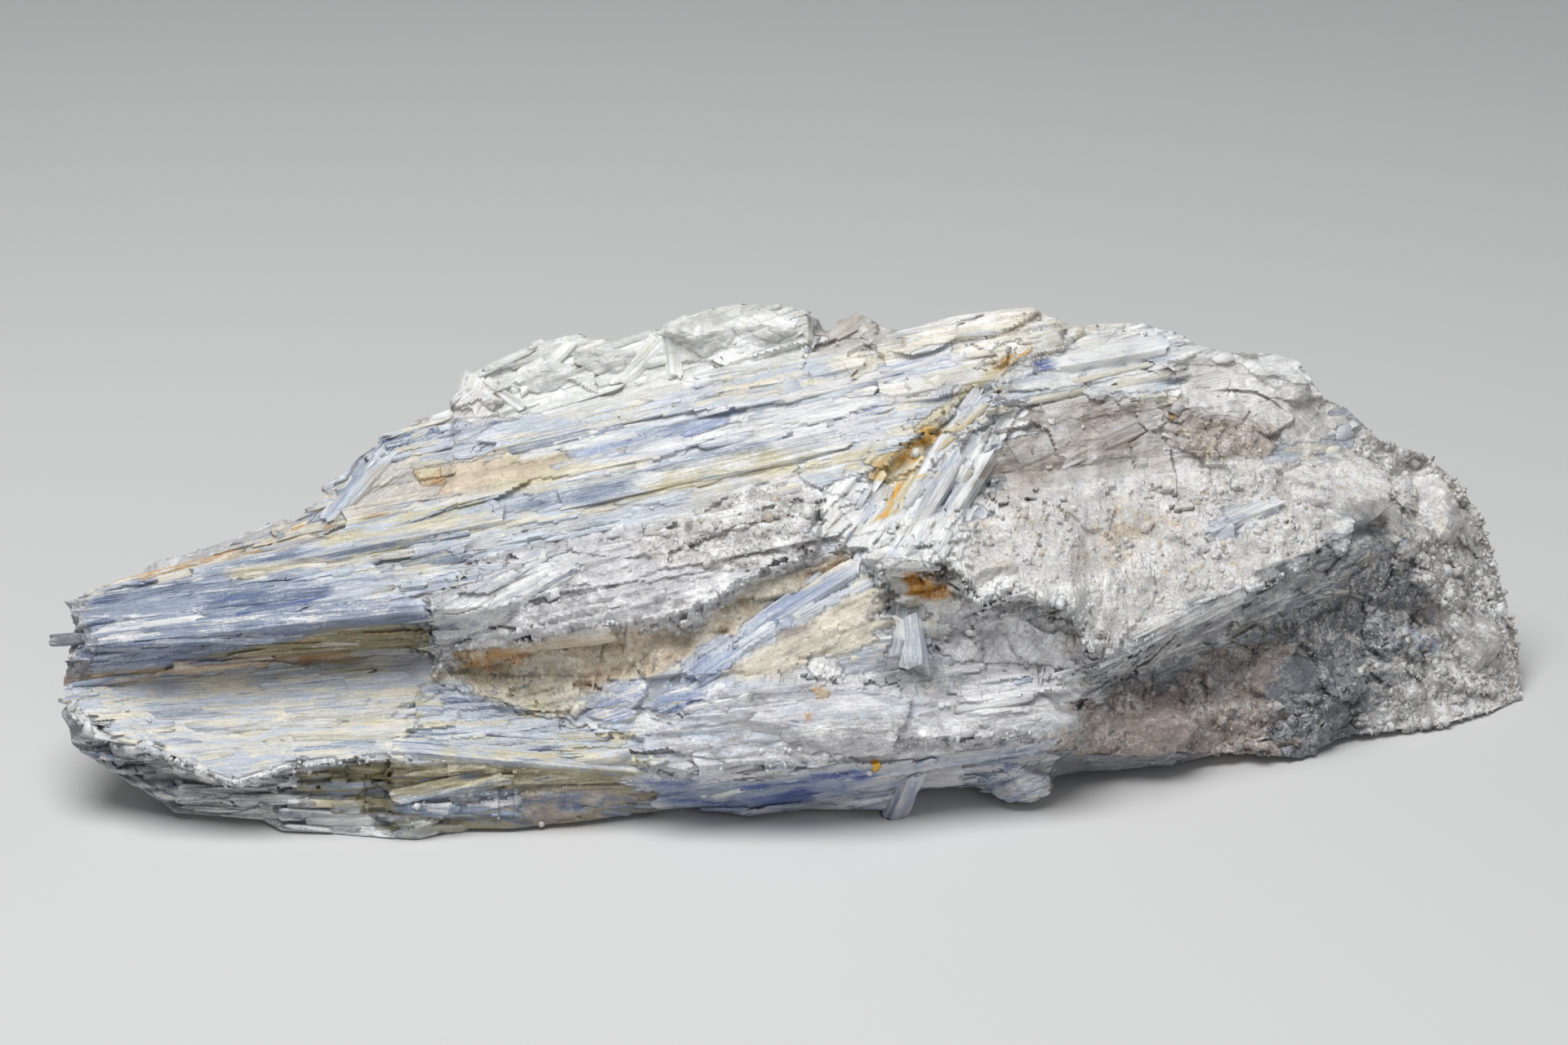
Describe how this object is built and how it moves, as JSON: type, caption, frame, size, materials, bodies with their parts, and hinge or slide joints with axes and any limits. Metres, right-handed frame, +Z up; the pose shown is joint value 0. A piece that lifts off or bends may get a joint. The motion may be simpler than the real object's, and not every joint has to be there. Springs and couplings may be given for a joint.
{
  "type": "kyanite specimen",
  "caption": "Long, broken hand specimen of bladed kyanite with granular quartz at one end, lying on a flat base face.",
  "frame": {"origin": "centre of the bounding box's base, on the surface that the specimen lies on", "axes": "+X along the specimen's length, from the thin bladed end to the blunt granular end; +Z up; -Y is the side seen in the picture"},
  "size_m": [0.21, 0.08, 0.0604],
  "materials": {
    "kyanite": "pearly cleavage faces over a rough granular break"
  },
  "bodies": {
    "root": {"kyanite_specimen": "kyanite"}
  },
  "joints": []
}
